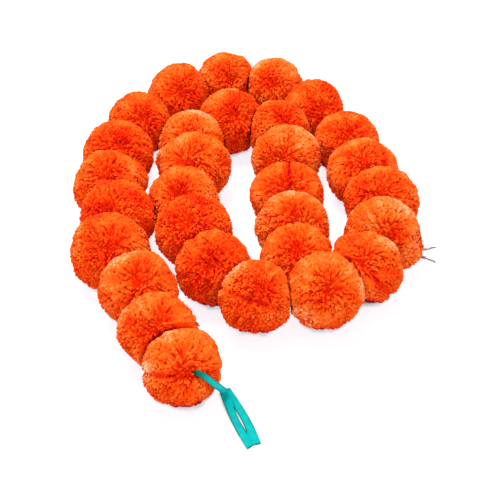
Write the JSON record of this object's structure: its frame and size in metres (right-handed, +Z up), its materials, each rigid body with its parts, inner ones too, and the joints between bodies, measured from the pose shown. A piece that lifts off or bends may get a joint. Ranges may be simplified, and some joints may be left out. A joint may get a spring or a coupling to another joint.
{
  "type": "marigold garland",
  "caption": "Artificial marigold garland: ruffled orange cloth blooms threaded on a string, laid in a doubled loop, with a turquoise ribbon loop to hang it by.",
  "frame": {"origin": "on the surface that the garland lies on, under the middle of the blooms' box", "axes": "+Z up, +Y along the laid loop away from the hanging ribbon, +X to the right seen from the ribbon's end"},
  "size_m": [0.334, 0.493, 0.065],
  "materials": {
    "orange_cloth": "ruffled matt polyester cloth with pinked rims, bright orange with deep red folds",
    "turquoise_satin": "smooth satin ribbon with a soft sheen",
    "string_cotton": "plain twisted cotton string",
    "grey_thread": "matt twisted sewing thread, mauve grey"
  },
  "bodies": {
    "root": {"bloom_01": "orange_cloth", "bloom_02": "orange_cloth", "bloom_03": "orange_cloth", "bloom_04": "orange_cloth", "bloom_05": "orange_cloth", "bloom_06": "orange_cloth", "bloom_07": "orange_cloth", "bloom_08": "orange_cloth", "bloom_09": "orange_cloth", "bloom_10": "orange_cloth", "bloom_11": "orange_cloth", "bloom_12": "orange_cloth", "bloom_13": "orange_cloth", "bloom_14": "orange_cloth", "bloom_15": "orange_cloth", "bloom_16": "orange_cloth", "bloom_17": "orange_cloth", "bloom_18": "orange_cloth", "bloom_19": "orange_cloth", "bloom_20": "orange_cloth", "bloom_21": "orange_cloth", "bloom_22": "orange_cloth", "bloom_23": "orange_cloth", "bloom_24": "orange_cloth", "bloom_25": "orange_cloth", "bloom_26": "orange_cloth", "bloom_27": "orange_cloth", "bloom_28": "orange_cloth", "bloom_29": "orange_cloth", "bloom_30": "orange_cloth", "string": "string_cotton", "hanging_ribbon": "turquoise_satin", "thread_end_1": "grey_thread", "thread_end_2": "grey_thread"}
  },
  "joints": []
}
